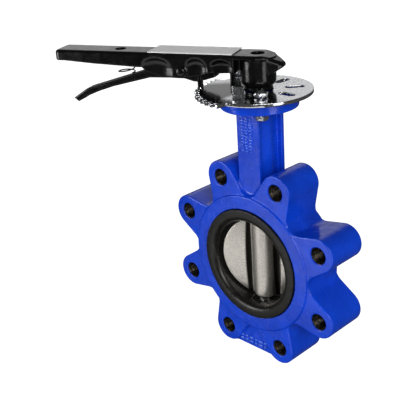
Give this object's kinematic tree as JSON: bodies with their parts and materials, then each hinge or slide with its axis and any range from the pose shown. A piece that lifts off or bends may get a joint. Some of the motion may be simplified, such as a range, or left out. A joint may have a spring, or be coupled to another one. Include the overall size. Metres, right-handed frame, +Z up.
{
  "type": "butterfly valve",
  "caption": "Lug-type butterfly valve: a rubber-lined round bore with a turning disc on a stem, and a hand lever whose squeeze trigger latches in a notched plate.",
  "frame": {"origin": "on the stem axis, mid-depth of the body, level with the undersides of the two lowest lugs", "axes": "+Z up along the stem, Y along the pipe with the upstream face at -Y; the closed lever would point to -X, and it rests 22.5 degrees open towards -Y"},
  "size_m": [0.262, 0.1246, 0.2717],
  "materials": {
    "blue_enamel": "glossy blue enamel on a sand-cast ductile iron skin",
    "black_rubber": "smooth satin moulded rubber",
    "nickel": "grainy satin nickel plating",
    "steel": "turned and zinc-bright steel",
    "zinc_plate": "bright zinc-plated stamped steel",
    "bronze": "machined bronze",
    "black_enamel": "glossy black enamel",
    "label_metal": "blank satin aluminium label",
    "spring_steel": "dark oiled spring steel"
  },
  "bodies": {
    "body": {"body_casting": "blue_enamel", "seat_liner": "black_rubber", "neck_bush_lower": "bronze", "neck_bush_upper": "bronze", "lower_bush": "bronze", "stem_o_ring_1": "black_rubber", "stem_o_ring_2": "black_rubber", "thrust_washer": "bronze", "stem_circlip": "spring_steel", "notch_plate": "zinc_plate", "plate_bolt_1": "steel", "plate_bolt_2": "steel", "plate_nut_1": "steel", "plate_nut_2": "steel"},
    "rotor": {"disc": "nickel", "upper_stem": "steel", "lower_stem": "steel", "lever": "black_enamel", "label_plate": "label_metal", "lever_set_screw": "spring_steel", "trigger_pivot_pin": "black_enamel", "trigger_spring": "spring_steel"},
    "trigger": {"trigger": "black_enamel"}
  },
  "joints": [
    {"name": "stem_turn", "type": "hinge", "parent": "body", "child": "rotor", "pos_m": [0, 0, 0.08871], "axis": [0, 0, 1], "range_deg": [-22.5, 67.5]},
    {"name": "trigger_squeeze", "type": "hinge", "parent": "rotor", "child": "trigger", "pos_m": [-0.05867, -0.0243, 0.25531], "axis": [-0.3827, 0.9239, 0], "range_deg": [0, 14], "stiffness_Nm_per_rad": 0.8, "springref_deg": -17.19, "deforming": ["trigger_spring"]}
  ]
}
